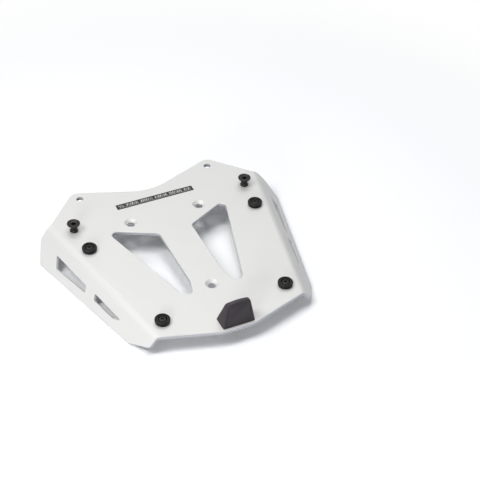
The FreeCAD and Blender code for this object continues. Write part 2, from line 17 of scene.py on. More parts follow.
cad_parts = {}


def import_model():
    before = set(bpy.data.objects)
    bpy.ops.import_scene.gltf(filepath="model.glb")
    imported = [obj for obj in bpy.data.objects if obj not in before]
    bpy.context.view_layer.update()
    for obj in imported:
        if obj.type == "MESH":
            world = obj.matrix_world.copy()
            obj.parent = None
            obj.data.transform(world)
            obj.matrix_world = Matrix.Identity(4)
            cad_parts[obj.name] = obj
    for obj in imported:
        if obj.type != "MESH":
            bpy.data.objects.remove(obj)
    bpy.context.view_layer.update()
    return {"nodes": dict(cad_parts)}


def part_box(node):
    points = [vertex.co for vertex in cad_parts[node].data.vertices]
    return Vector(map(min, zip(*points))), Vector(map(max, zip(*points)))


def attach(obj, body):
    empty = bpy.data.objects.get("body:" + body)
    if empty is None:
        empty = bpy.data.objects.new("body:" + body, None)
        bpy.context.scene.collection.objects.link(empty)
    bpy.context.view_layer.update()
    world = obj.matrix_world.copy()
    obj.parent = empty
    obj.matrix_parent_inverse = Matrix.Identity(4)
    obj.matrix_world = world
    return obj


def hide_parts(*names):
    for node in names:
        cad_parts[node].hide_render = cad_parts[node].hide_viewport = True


LOG = logging.getLogger("carrier")
MM = 0.001
BODY = "root"
SIDES = ("left", "right")
CORNERS = ("front_left", "front_right", "rear_left", "rear_right")
WHITE = (1.0, 1.0, 1.0, 1.0)

# How finely the fittings are modelled. Edges past the sharp angle are rounded, shading breaks past the
# smooth one, and faces that differ by less than the flat one become one face.
RING_SEGMENTS = 72
THREAD_STEPS = 36
RIDGE_SIDES = 3
HEXAGON_SIDES = 6
SHARP_ANGLE = math.radians(28)
SMOOTH_ANGLE = math.radians(32)
FLAT_ANGLE = math.radians(0.5)
SLIVER = 0.03
MERGE_DISTANCE_M = 1e-7
# How far a cutting tool reaches past the piece that it cuts.
CUT_OVERRUN = 1.0

Ring = tuple[float, float]


def linear(code: str) -> tuple[float, float, float, float]:
    """Turn an sRGB hex colour into linear red, green, blue and alpha, by the standard's formula.

    Args:
        code: six hex digits, as in "8A8A88".

    Returns:
        The colour as Blender's sockets take it.
    """
    shares = [int(code[start:start + 2], 16) / 255 for start in (0, 2, 4)]
    values = [share / 12.92 if share <= 0.04045 else ((share + 0.055) / 1.055) ** 2.4 for share in shares]
    return (*values, 1.0)


def add_node(
    tree: bpy.types.NodeTree,
    kind: str,
    settings: dict[str | int, object] | None = None,
    links: dict[str | int, bpy.types.NodeSocket] | None = None,
) -> bpy.types.Node:
    """Add a shader node with its settings and links.

    Args:
        tree: the node tree that takes the node.
        kind: Blender's name of the node's class.
        settings: values by attribute name, input name or input number.
        links: output sockets by the input name or number that they feed.

    Returns:
        The new node.
    """
    node = tree.nodes.new(kind)
    for key, value in (settings or {}).items():
        if isinstance(key, str) and hasattr(node, key):
            setattr(node, key, value)
    for key, value in (settings or {}).items():
        if isinstance(key, int) or not hasattr(node, key):
            node.inputs[key].default_value = value
    for key, socket in (links or {}).items():
        tree.links.new(socket, node.inputs[key])
    return node


class Mixing:
    """Numbers of the sockets on Blender's Mix and Mix Shader nodes."""

    FACTOR = 0
    FIRST_SHADER = 1
    SECOND_SHADER = 2
    FIRST_NUMBER = 2
    SECOND_NUMBER = 3
    MIXED_NUMBER = 0
    FIRST_COLOUR = 6
    SECOND_COLOUR = 7
    MIXED_COLOUR = 2


@dataclass(frozen=True)
class Finish:
    """A surface finish with its real grain size.

    Each finish has two close colours in soft patches, a roughness that varies with them, and a grain
    that stands in the bump.
    """

    name: str
    colour: str
    patch_colour: str
    patch_size: float
    metallic: float
    roughness: float
    roughness_spread: float
    grain_size: float
    grain_height: float
    specular: float = 0.5

    def noise(self, tree: bpy.types.NodeTree, size: float, detail: float = 3.0,
              upright_scale: float = 1.0) -> bpy.types.NodeSocket:
        """Add a noise pattern on object coordinates.

        Args:
            tree: the material's node tree.
            size: how large one patch of the pattern is, in millimetres.
            detail: how many finer layers lie in each patch.
            upright_scale: the pattern's scale along Z, which draws it out if it is under 1.

        Returns:
            The pattern's strength, from 0 to 1.
        """
        coordinates = add_node(tree, "ShaderNodeTexCoord")
        mapping = add_node(tree, "ShaderNodeMapping", {"Scale": Vector((1, 1, upright_scale))},
                           {"Vector": coordinates.outputs["Object"]})
        pattern = add_node(tree, "ShaderNodeTexNoise", {"Scale": 1 / (size * MM), "Detail": detail},
                           {"Vector": mapping.outputs["Vector"]})
        return pattern.outputs["Fac"]

    def colour_socket(self, tree: bpy.types.NodeTree) -> bpy.types.NodeSocket:
        """Return the base colour: two close colours in soft patches."""
        mix = add_node(tree, "ShaderNodeMix",
                       {"data_type": "RGBA", Mixing.FIRST_COLOUR: linear(self.colour),
                        Mixing.SECOND_COLOUR: linear(self.patch_colour)},
                       {Mixing.FACTOR: self.noise(tree, self.patch_size)})
        return mix.outputs[Mixing.MIXED_COLOUR]

    def roughness_socket(self, tree: bpy.types.NodeTree) -> bpy.types.NodeSocket:
        """Return the roughness, which varies over half the patches' size."""
        spread = add_node(tree, "ShaderNodeMapRange",
                          {"To Min": self.roughness - self.roughness_spread,
                           "To Max": self.roughness + self.roughness_spread},
                          {"Value": self.noise(tree, self.patch_size / 2)})
        return spread.outputs["Result"]

    def height_socket(self, tree: bpy.types.NodeTree) -> bpy.types.NodeSocket:
        """Return the height of the grain, from 0 to 1."""
        return self.noise(tree, self.grain_size, detail=2.0)

    def make(self) -> bpy.types.Material:
        """Build the material.

        Returns:
            The finished material.
        """
        material = bpy.data.materials.new(self.name)
        material.use_nodes = True
        tree = material.node_tree
        tree.nodes.clear()
        bump = add_node(tree, "ShaderNodeBump", {"Strength": 1.0, "Distance": self.grain_height * MM},
                        {"Height": self.height_socket(tree)})
        shader = add_node(tree, "ShaderNodeBsdfPrincipled",
                          {"Metallic": self.metallic, "Specular IOR Level": self.specular},
                          {"Base Color": self.colour_socket(tree),
                           "Roughness": self.roughness_socket(tree),
                           "Normal": bump.outputs["Normal"]})
        add_node(tree, "ShaderNodeOutputMaterial", links={"Surface": shader.outputs["BSDF"]})
        return material


@dataclass(frozen=True)
class CoatedSheet(Finish):
    """Satin silver powder coat on laser-cut sheet, with the laser's streaks on the cut edges, which also get
    a painted shade.
    """

    # Painted shade: the cut edges, which stand square to the deck, are coloured darker and bluer than the
    # coat.
    edge_shade_colour: str = "BEBEC2"
    edge_normal_limit: float = 0.3
    streak_size: float = 1.1
    streak_upright_scale: float = 0.04
    streak_height_share: float = 0.8

    def on_edge(self, tree: bpy.types.NodeTree) -> bpy.types.NodeSocket:
        """Find the cut edges, whose faces stand nearly square to the deck.

        Args:
            tree: the material's node tree.

        Returns:
            1 on the cut edges and 0 elsewhere.
        """
        face = add_node(tree, "ShaderNodeNewGeometry")
        parts = add_node(tree, "ShaderNodeSeparateXYZ", links={"Vector": face.outputs["True Normal"]})
        lean = add_node(tree, "ShaderNodeMath", {"operation": "ABSOLUTE"}, {0: parts.outputs["Z"]})
        upright = add_node(tree, "ShaderNodeMath", {"operation": "LESS_THAN", 1: self.edge_normal_limit},
                           {0: lean.outputs[0]})
        return upright.outputs[0]

    def colour_socket(self, tree: bpy.types.NodeTree) -> bpy.types.NodeSocket:
        """Return the coat's colour, with painted shade on the cut edges, which are drawn darker and bluer
        than the faces.
        """
        mix = add_node(tree, "ShaderNodeMix",
                       {"data_type": "RGBA", Mixing.SECOND_COLOUR: linear(self.edge_shade_colour)},
                       {Mixing.FACTOR: self.on_edge(tree), Mixing.FIRST_COLOUR: super().colour_socket(tree)})
        return mix.outputs[Mixing.MIXED_COLOUR]

    def height_socket(self, tree: bpy.types.NodeTree) -> bpy.types.NodeSocket:
        """Draw the coat's grain, with upright streaks on the cut edges.

        Args:
            tree: the material's node tree.

        Returns:
            The height of the grain, from 0 to 1.
        """
        grain = super().height_socket(tree)
        streaks = self.noise(tree, self.streak_size, detail=1.0, upright_scale=self.streak_upright_scale)
        share = add_node(tree, "ShaderNodeMath", {"operation": "MULTIPLY", 1: self.streak_height_share},
                         {0: self.on_edge(tree)})
        height = add_node(tree, "ShaderNodeMix", {"data_type": "FLOAT"},
                          {Mixing.FACTOR: share.outputs[0], Mixing.FIRST_NUMBER: grain,
                           Mixing.SECOND_NUMBER: streaks})
        return height.outputs[Mixing.MIXED_NUMBER]


@dataclass(frozen=True)
class PrintedFilm(Finish):
    """Black film printed with groups of slanted grey bars over a thin grey line, which say nothing."""

    ink_colour: str = "D2D2CE"
    centre_y: float = 33.7
    slant: float = 0.3
    bar_pitch: float = 2.4
    bar_share: float = 0.6
    group_pitch: float = 19.9
    group_share: float = 0.86
    faintest_share: float = 0.35
    print_half_length: float = 49.2
    bars_y: float = 0.6
    bars_half_height: float = 2.2
    line_y: float = -2.7
    line_half_height: float = 0.5

    def stripes(self, tree: bpy.types.NodeTree, along: bpy.types.NodeSocket, pitch: float,
                share: float) -> bpy.types.NodeSocket:
        """Draw stripes that repeat along a coordinate.

        Args:
            tree: the material's node tree.
            along: the coordinate in metres.
            pitch: the step from one stripe to the next in millimetres.
            share: how much of that step a stripe takes up.

        Returns:
            1 on the stripes and 0 between them.
        """
        steps = add_node(tree, "ShaderNodeMath", {"operation": "DIVIDE", 1: pitch * MM}, {0: along})
        phase = add_node(tree, "ShaderNodeMath", {"operation": "FRACT"}, {0: steps.outputs[0]})
        stripe = add_node(tree, "ShaderNodeMath", {"operation": "LESS_THAN", 1: share},
                          {0: phase.outputs[0]})
        return stripe.outputs[0]

    def band(self, tree: bpy.types.NodeTree, across: bpy.types.NodeSocket, middle: float,
             half_width: float) -> bpy.types.NodeSocket:
        """Return 1 where a coordinate lies in a band, and 0 beside it."""
        within = add_node(tree, "ShaderNodeMath",
                          {"operation": "COMPARE", 1: middle * MM, 2: half_width * MM}, {0: across})
        return within.outputs[0]

    def overlap(self, tree: bpy.types.NodeTree, *patterns: bpy.types.NodeSocket) -> bpy.types.NodeSocket:
        """Multiply patterns, which leaves what lies in all of them.

        Args:
            tree: the material's node tree.
            patterns: the patterns' sockets.

        Returns:
            The product.
        """
        whole = patterns[0]
        for pattern in patterns[1:]:
            product = add_node(tree, "ShaderNodeMath", {"operation": "MULTIPLY"}, {0: whole, 1: pattern})
            whole = product.outputs[0]
        return whole

    def bar_tone(self, tree: bpy.types.NodeTree, along: bpy.types.NodeSocket) -> bpy.types.NodeSocket:
        """Draw how strongly the slanted bars are printed, which differs from bar to bar.

        Args:
            tree: the material's node tree.
            along: the coordinate that runs across the bars, in metres.

        Returns:
            The ink's strength, from the faintest share to 1.
        """
        steps = add_node(tree, "ShaderNodeMath", {"operation": "DIVIDE", 1: self.bar_pitch * MM}, {0: along})
        number = add_node(tree, "ShaderNodeMath", {"operation": "FLOOR"}, {0: steps.outputs[0]})
        chance = add_node(tree, "ShaderNodeTexWhiteNoise", {"noise_dimensions": "1D"},
                          {"W": number.outputs[0]})
        tone = add_node(tree, "ShaderNodeMapRange", {"To Min": self.faintest_share},
                        {"Value": chance.outputs["Value"]})
        return tone.outputs["Result"]

    def ink(self, tree: bpy.types.NodeTree) -> bpy.types.NodeSocket:
        """Draw the print: the bars in their groups and the line below them.

        Args:
            tree: the material's node tree.

        Returns:
            How much ink lies on the film, from 0 to 1.
        """
        coordinates = add_node(tree, "ShaderNodeTexCoord")
        parts = add_node(tree, "ShaderNodeSeparateXYZ", links={"Vector": coordinates.outputs["Object"]})
        x = parts.outputs["X"]
        offset = add_node(tree, "ShaderNodeMath", {"operation": "SUBTRACT", 1: self.centre_y * MM},
                          {0: parts.outputs["Y"]})
        y = offset.outputs[0]
        leaning = add_node(tree, "ShaderNodeMath", {"operation": "MULTIPLY_ADD", 1: -self.slant},
                           {0: y, 2: x})
        along = leaning.outputs[0]
        bars = self.overlap(tree,
                            self.stripes(tree, along, self.bar_pitch, self.bar_share),
                            self.stripes(tree, x, self.group_pitch, self.group_share),
                            self.band(tree, y, self.bars_y, self.bars_half_height),
                            self.bar_tone(tree, along))
        line = add_node(tree, "ShaderNodeMath", {"operation": "MULTIPLY", 1: self.faintest_share},
                        {0: self.band(tree, y, self.line_y, self.line_half_height)})
        both = add_node(tree, "ShaderNodeMath", {"operation": "MAXIMUM"}, {0: bars, 1: line.outputs[0]})
        return self.overlap(tree, self.band(tree, x, 0.0, self.print_half_length), both.outputs[0])

    def colour_socket(self, tree: bpy.types.NodeTree) -> bpy.types.NodeSocket:
        """Return the film's colour with the bars and the line printed on it."""
        mix = add_node(tree, "ShaderNodeMix",
                       {"data_type": "RGBA", Mixing.SECOND_COLOUR: linear(self.ink_colour)},
                       {Mixing.FACTOR: self.ink(tree), Mixing.FIRST_COLOUR: super().colour_socket(tree)})
        return mix.outputs[Mixing.MIXED_COLOUR]


class Slot(Enum):
    """The model's material slots."""

    SILVER_PLATE = "silver_plate"
    BLACK_LABEL = "black_label"
    BLACK_PLASTIC = "black_plastic"
    BLACK_RUBBER = "black_rubber"
    BLACK_STEEL = "black_steel"
    ZINC_STEEL = "zinc_steel"


# Powder coat over aluminium: even, pale and satin, with a faint sheen of metal flake and a fine
# orange-peel grain. Real peel is about 1 mm across, drawn at 1.6 mm so that it shows.
SATIN_SILVER_COAT = CoatedSheet(
    name="satin_silver_powder_coat",
    colour="DAD9D6",
    patch_colour="D6D5D2",
    patch_size=60.0,
    metallic=0.18,
    roughness=0.5,
    roughness_spread=0.05,
    grain_size=1.6,
    grain_height=0.012,
)
# Printed polyester film: deep black and a little glossy under its ink.
BLACK_FILM = PrintedFilm(
    name="printed_black_polyester_film",
    colour="0A0A0A",
    patch_colour="101010",
    patch_size=8.0,
    metallic=0.0,
    roughness=0.42,
    roughness_spread=0.06,
    grain_size=0.5,
    grain_height=0.004,
    specular=0.3,
)
# Glass-filled nylon, moulded against a spark-eroded wall: dark grey with a fine dull grain.
MOULDED_NYLON = Finish(
    name="moulded_glass_filled_nylon",
    colour="292329",
    patch_colour="322C31",
    patch_size=6.0,
    metallic=0.0,
    roughness=0.5,
    roughness_spread=0.07,
    grain_size=0.7,
    grain_height=0.03,
    specular=0.35,
)
# Moulded EPDM rubber: near black with a faint soft shine, and a bloom that lightens it in patches.
EPDM_RUBBER = Finish(
    name="moulded_epdm_rubber",
    colour="060606",
    patch_colour="0E0E0E",
    patch_size=3.0,
    metallic=0.0,
    roughness=0.36,
    roughness_spread=0.08,
    grain_size=0.5,
    grain_height=0.02,
    specular=0.22,
)
# Steel with black zinc plating: very dark grey, half glossy and lightly marked.
BLACK_ZINC = Finish(
    name="black_zinc_plated_steel",
    colour="282627",
    patch_colour="322F30",
    patch_size=2.5,
    metallic=0.8,
    roughness=0.28,
    roughness_spread=0.07,
    grain_size=0.4,
    grain_height=0.008,
    specular=0.3,
)
# Steel with clear zinc plating: pale bluish grey with a dull shine.
CLEAR_ZINC = Finish(
    name="clear_zinc_plated_steel",
    colour="B6B8BB",
    patch_colour="A6A8AA",
    patch_size=3.0,
    metallic=1.0,
    roughness=0.36,
    roughness_spread=0.08,
    grain_size=0.5,
    grain_height=0.006,
)

FINISHES = {
    Slot.SILVER_PLATE: SATIN_SILVER_COAT,
    Slot.BLACK_LABEL: BLACK_FILM,
    Slot.BLACK_PLASTIC: MOULDED_NYLON,
    Slot.BLACK_RUBBER: EPDM_RUBBER,
    Slot.BLACK_STEEL: BLACK_ZINC,
    Slot.ZINC_STEEL: CLEAR_ZINC,
}


class Wardrobe:
    """Makes each slot's material once and dresses pieces with it."""

    def __init__(self) -> None:
        """Start with no material made."""
        self.made: dict[Slot, bpy.types.Material] = {}

    def material(self, slot: Slot) -> bpy.types.Material:
        """Return a slot's material, made on its first use.

        Args:
            slot: the material slot.

        Returns:
            The slot's material.
        """
        if slot not in self.made:
            self.made[slot] = FINISHES[slot].make()
        return self.made[slot]

    def dress(self, piece: bpy.types.Object, slot: Slot) -> None:
        """Give a piece one slot's material all over."""
        piece.data.materials.clear()
        piece.data.materials.append(self.material(slot))


@dataclass(frozen=True)
class Thread:
    """The threaded end of a stud or screw, whose last turns show below its nut.

    The core ends at the height called end, and the raised turns begin the lead above it.
    """

    radius: float
    core: float
    pitch: float
    end: float
    end_chamfer: float
    lead: float
    turns: int = 3
    crest_share: float = 0.46

    def rings(self, top: float) -> list[Ring]:
        """Return the rings of the core, from its free end up to a given height."""
        return [
            (self.core - self.end_chamfer, self.end),
            (self.core, self.end + self.end_chamfer),
            (self.core, top),
        ]


class Workshop:
    """Models pieces with Blender's operators round the Z axis."""

    def clear_selection(self) -> None:
        """Deselect every object."""
        bpy.ops.object.select_all(action="DESELECT")

    def take(self, piece: bpy.types.Object) -> None:
        """Select one piece alone and make it active.

        Args:
            piece: the piece that is worked on next.
        """
        self.clear_selection()
        piece.select_set(True)
        bpy.context.view_layer.objects.active = piece

    def turned(self, name: str, rings: list[Ring], bored: bool = False) -> bpy.types.Object:
        """Turn a piece about the Z axis by extruding and scaling one circle.

        Args:
            name: the new object's name.
            rings: radius and height of each ring, in millimetres, from the lower end outwards and up.
            bored: whether the last ring joins the first one round a hole.

        Returns:
            The new object.
        """
        self.clear_selection()
        radius, height = rings[0]
        bpy.ops.mesh.primitive_circle_add(vertices=RING_SEGMENTS, radius=radius * MM,
                                          fill_type="NOTHING" if bored else "NGON")
        piece = bpy.context.object
        piece.name = name
        bpy.ops.object.mode_set(mode="EDIT")
        bpy.ops.mesh.select_mode(type="VERT")
        bpy.ops.mesh.select_all(action="SELECT")
        bpy.ops.transform.translate(value=(0, 0, height * MM))
        for next_radius, next_height in rings[1:] + (rings[:1] if bored else []):
            rise = (0, 0, (next_height - height) * MM)
            bpy.ops.mesh.extrude_region_move(TRANSFORM_OT_translate={"value": rise})
            growth = next_radius / radius
            bpy.ops.transform.resize(value=(growth, growth, 1), center_override=(0, 0, next_height * MM))
            radius, height = next_radius, next_height
        bpy.ops.mesh.select_all(action="SELECT")
        bpy.ops.mesh.remove_doubles(threshold=MERGE_DISTANCE_M)
        bpy.ops.mesh.normals_make_consistent(inside=False)
        bpy.ops.object.mode_set(mode="OBJECT")
        return piece

    def hexagon(self, name: str, flats: float, low: float, high: float) -> bpy.types.Object:
        """Make a hexagonal prism of a given width across its flats, with two corners towards X and -X.

        Args:
            name: the new object's name.
            flats: width across the flats, in millimetres.
            low: height of its lower end, in millimetres.
            high: height of its upper end, in millimetres.

        Returns:
            The new object.
        """
        self.clear_selection()
        bpy.ops.mesh.primitive_cylinder_add(vertices=HEXAGON_SIDES, radius=flats / math.sqrt(3) * MM,
                                            depth=(high - low) * MM,
                                            location=(0, 0, (low + high) / 2 * MM),
                                            rotation=(0, 0, math.pi / HEXAGON_SIDES))
        bpy.ops.object.transform_apply(location=True, rotation=True, scale=True)
        piece = bpy.context.object
        piece.name = name
        return piece

    def combine(self, piece: bpy.types.Object, tool: bpy.types.Object, operation: str) -> None:
        """Cut, join or intersect a piece with a tool.

        Args:
            piece: the piece that is changed.
            tool: the other solid, which is used up.
            operation: Blender's name of the operation.
        """
        self.take(piece)
        modifier = piece.modifiers.new(operation.lower(), "BOOLEAN")
        modifier.operation = operation
        modifier.solver = "EXACT"
        modifier.object = tool
        bpy.ops.object.modifier_apply(modifier=modifier.name)
        bpy.data.objects.remove(tool)

    def clean(self, piece: bpy.types.Object) -> None:
        """Merge the points that cuts leave almost together, and the parts of each flat face.

        Args:
            piece: the piece that was cut.
        """
        self.take(piece)
        bpy.ops.object.mode_set(mode="EDIT")
        bpy.ops.mesh.select_all(action="SELECT")
        bpy.ops.mesh.remove_doubles(threshold=SLIVER * MM)
        bpy.ops.mesh.dissolve_limited(angle_limit=FLAT_ANGLE)
        bpy.ops.object.mode_set(mode="OBJECT")

    def round_edges(self, piece: bpy.types.Object, width: float, segments: int = 2) -> None:
        """Round a piece's sharp edges and smooth its faces.

        Args:
            piece: the piece to finish.
            width: the rounding's width in millimetres.
            segments: how many faces each rounding has.
        """
        self.take(piece)
        modifier = piece.modifiers.new("rounding", "BEVEL")
        modifier.width = width * MM
        modifier.segments = segments
        modifier.limit_method = "ANGLE"
        modifier.angle_limit = SHARP_ANGLE
        bpy.ops.object.modifier_apply(modifier=modifier.name)
        bpy.ops.object.shade_smooth_by_angle(angle=SMOOTH_ANGLE)

    def wind(self, piece: bpy.types.Object, thread: Thread) -> None:
        """Wind the raised turns of a thread round a piece's lower end.

        Args:
            piece: the piece that gets the turns.
            thread: the thread's sizes.
        """
        crest = thread.crest_share * thread.pitch
        self.clear_selection()
        bpy.ops.mesh.primitive_circle_add(vertices=RIDGE_SIDES, radius=crest * MM, fill_type="NOTHING",
                                          location=((thread.radius - crest) * MM, 0,
                                                    (thread.end + thread.lead) * MM),
                                          rotation=(math.pi / 2, math.pi / 2, 0))
        bpy.ops.object.transform_apply(location=True, rotation=True, scale=True)
        ridge = bpy.context.object
        modifier = ridge.modifiers.new("winding", "SCREW")
        modifier.screw_offset = thread.pitch * MM
        modifier.iterations = thread.turns
        modifier.steps = THREAD_STEPS
        modifier.render_steps = THREAD_STEPS
        bpy.ops.object.modifier_apply(modifier=modifier.name)
        bpy.ops.object.mode_set(mode="EDIT")
        bpy.ops.mesh.select_all(action="SELECT")
        bpy.ops.mesh.remove_doubles(threshold=MERGE_DISTANCE_M)
        bpy.ops.mesh.fill_holes(sides=RIDGE_SIDES)
        bpy.ops.mesh.normals_make_consistent(inside=False)
        bpy.ops.object.mode_set(mode="OBJECT")
        self.take(piece)
        ridge.select_set(True)
        bpy.ops.object.join()

    def copy_at(self, piece: bpy.types.Object, name: str, place: Vector) -> bpy.types.Object:
        """Copy a piece with its own mesh to a place in the row frame.

        Args:
            piece: the pattern piece, modelled round the origin.
            name: the copy's name.
            place: where the pattern's origin goes, in metres.

        Returns:
            The copy, with its place in its mesh.
        """
        copy = bpy.data.objects.new(name, piece.data.copy())
        copy.data.name = name
        copy.data.transform(Matrix.Translation(place))
        bpy.context.scene.collection.objects.link(copy)
        return copy


@dataclass(frozen=True)
class FlatWasher:
    """A stamped flat washer."""

    radius: float
    bore: float
    thickness: float
    rounding: float = 0.15

    def model(self, workshop: Workshop, top: float) -> bpy.types.Object:
        """Model the washer round the Z axis.

        Args:
            workshop: the workshop that models it.
            top: height of its upper face in millimetres.

        Returns:
            The washer.
        """
        low = top - self.thickness
        rings = [(self.bore, low), (self.radius, low), (self.radius, top), (self.bore, top)]
        piece = workshop.turned("washer_pattern", rings, bored=True)
        workshop.round_edges(piece, self.rounding)
        return piece


@dataclass(frozen=True)
class LockNut:
    """A hexagonal lock nut with chamfered corners and a round locking collar at its lower end.

    The collar's height is a share of the nut's, its radius and that of the flat end faces are shares of
    the width across the flats, and the corners' chamfer is a share of how far they stand out.
    """

    flats: float
    height: float
    collar_height_share: float = 0.3
    collar_radius_share: float = 0.44
    collar_chamfer_share: float = 1 / 3
    face_radius_share: float = 0.485
    corner_chamfer_share: float = 0.55
    corner_clearance: float = 0.1
    overrun: float = 0.5
    rounding: float = 0.1

    def barrel(self, workshop: Workshop, low: float, high: float) -> bpy.types.Object:
        """Model the barrel that trims the hexagon's corners at both ends.

        Args:
            workshop: the workshop that models it.
            low: height of the hexagon's lower end in millimetres.
            high: height of its upper end in millimetres.

        Returns:
            The barrel.
        """
        reach = self.flats / math.sqrt(3)
        chamfer = (reach - self.flats / 2) * self.corner_chamfer_share
        face_radius = self.flats * self.face_radius_share
        widest = reach + self.corner_clearance
        tip_radius = face_radius - self.overrun * (widest - face_radius) / chamfer
        return workshop.turned("barrel", [
            (tip_radius, low - self.overrun),
            (widest, low + chamfer),
            (widest, high - chamfer),
            (tip_radius, high + self.overrun),
        ])

    def model(self, workshop: Workshop, bore: float, top: float) -> bpy.types.Object:
        """Model the nut round the Z axis.

        Args:
            workshop: the workshop that models it.
            bore: radius of its hole in millimetres.
            top: height of its upper face in millimetres.

        Returns:
            The nut.
        """
        collar_height = self.height * self.collar_height_share
        collar_radius = self.flats * self.collar_radius_share
        collar_chamfer = collar_height * self.collar_chamfer_share
        low = top - self.height
        shoulder = low + collar_height
        piece = workshop.hexagon("nut_pattern", self.flats, shoulder, top)
        workshop.combine(piece, self.barrel(workshop, shoulder, top), "INTERSECT")
        collar = workshop.turned("collar", [
            (collar_radius - collar_chamfer, low),
            (collar_radius, low + collar_chamfer),
            (collar_radius, shoulder + self.overrun),
        ])
        workshop.combine(piece, collar, "UNION")
        hole = workshop.turned("hole", [(bore, low - CUT_OVERRUN), (bore, top + CUT_OVERRUN)])
        workshop.combine(piece, hole, "DIFFERENCE")
        workshop.clean(piece)
        workshop.round_edges(piece, self.rounding)
        return piece


@dataclass
class Fitting:
    """One kind of fitting, modelled once and copied to each of its nodes."""

    workshop: Workshop
    wardrobe: Wardrobe
    deck_top: float
    sheet: float = 5.0

    def install(self, piece: bpy.types.Object, node: str, slot: Slot) -> None:
        """Dress a piece, make it ride on the carrier and let it stand for its node.

        Args:
            piece: the piece in its place.
            node: the node that it stands for.
            slot: the material slot of its finish.
        """
        self.wardrobe.dress(piece, slot)
        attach(piece, BODY)
        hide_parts(node)
        LOG.info("%s stands for %s with %d faces", piece.name, node, len(piece.data.polygons))

    def stand_in(self, pattern: bpy.types.Object, node_stem: str, piece_stem: str, places: tuple[str, ...],
                 slot: Slot) -> None:
        """Copy a pattern to each node that it stands for.

        Args:
            pattern: the piece modelled round the origin, which is removed afterwards.
            node_stem: the nodes' names without their places.
            piece_stem: the new pieces' names without their places.
            places: the nodes' places, such as "left".
            slot: the material slot of the finish.
        """
        for place in places:
            node = f"{node_stem}_{place}"
            low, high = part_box(node)
            centre = (low + high) / 2
            seat = Vector((centre.x, centre.y, self.deck_top))
            self.install(self.workshop.copy_at(pattern, f"{piece_stem}_{place}", seat), node, slot)
        bpy.data.objects.remove(pattern)


@dataclass
class CaseStuds(Fitting):
    """The two mushroom studs that the case hooks onto, with their washers and lock nuts."""

    height: float = 11.8
    head_radius: float = 8.1
    head_edge: float = 1.2
    neck_radius: float = 4.35
    collar_radius: float = 5.2
    collar_height: float = 2.6
    dish_radius: float = 6.2
    dish_depth: float = 0.8
    socket_flats: float = 5.0
    socket_depth: float = 4.0
    rounding: float = 0.27
    rounding_faces: int = 3
    thread: Thread = Thread(radius=4.0, core=3.4, pitch=1.25, end=-16.2, end_chamfer=0.8, lead=0.9)
    washer: FlatWasher = FlatWasher(radius=8.0, bore=4.2, thickness=1.6)
    nut: LockNut = LockNut(flats=13.0, height=8.0)

    def stud(self) -> bpy.types.Object:
        """Model the stud round the origin, from its thread's end up to its dished head.

        Returns:
            The stud.
        """
        shank_end = -self.sheet - self.washer.thickness
        head_low = self.height - self.head_edge
        flare = self.collar_radius - self.neck_radius
        piece = self.workshop.turned("stud_pattern", self.thread.rings(shank_end) + [
            (self.thread.radius, shank_end),
            (self.thread.radius, 0),
            (self.collar_radius, 0),
            (self.collar_radius, self.collar_height - flare),
            (self.neck_radius, self.collar_height),
            (self.neck_radius, head_low - self.head_radius + self.neck_radius),
            (self.head_radius, head_low),
            (self.head_radius, self.height),
            (self.dish_radius + self.dish_depth, self.height),
            (self.dish_radius, self.height - self.dish_depth),
        ])
        floor = self.height - self.dish_depth - self.socket_depth
        socket = self.workshop.hexagon("socket", self.socket_flats, floor, self.height)
        self.workshop.combine(piece, socket, "DIFFERENCE")
        self.workshop.round_edges(piece, self.rounding, self.rounding_faces)
        self.workshop.wind(piece, self.thread)
        return piece

    def build(self) -> None:
        """Model the stud, its washer and its nut once and put them in their two places."""
        self.stand_in(self.stud(), "case_stud", "mushroom_stud", SIDES, Slot.BLACK_STEEL)
        disc = self.washer.model(self.workshop, -self.sheet)
        self.stand_in(disc, "stud_washer", "stud_disc", SIDES, Slot.ZINC_STEEL)
        nut = self.nut.model(self.workshop, self.thread.radius, -self.sheet - self.washer.thickness)
        self.stand_in(nut, "stud_nut", "stud_lock_nut", SIDES, Slot.ZINC_STEEL)


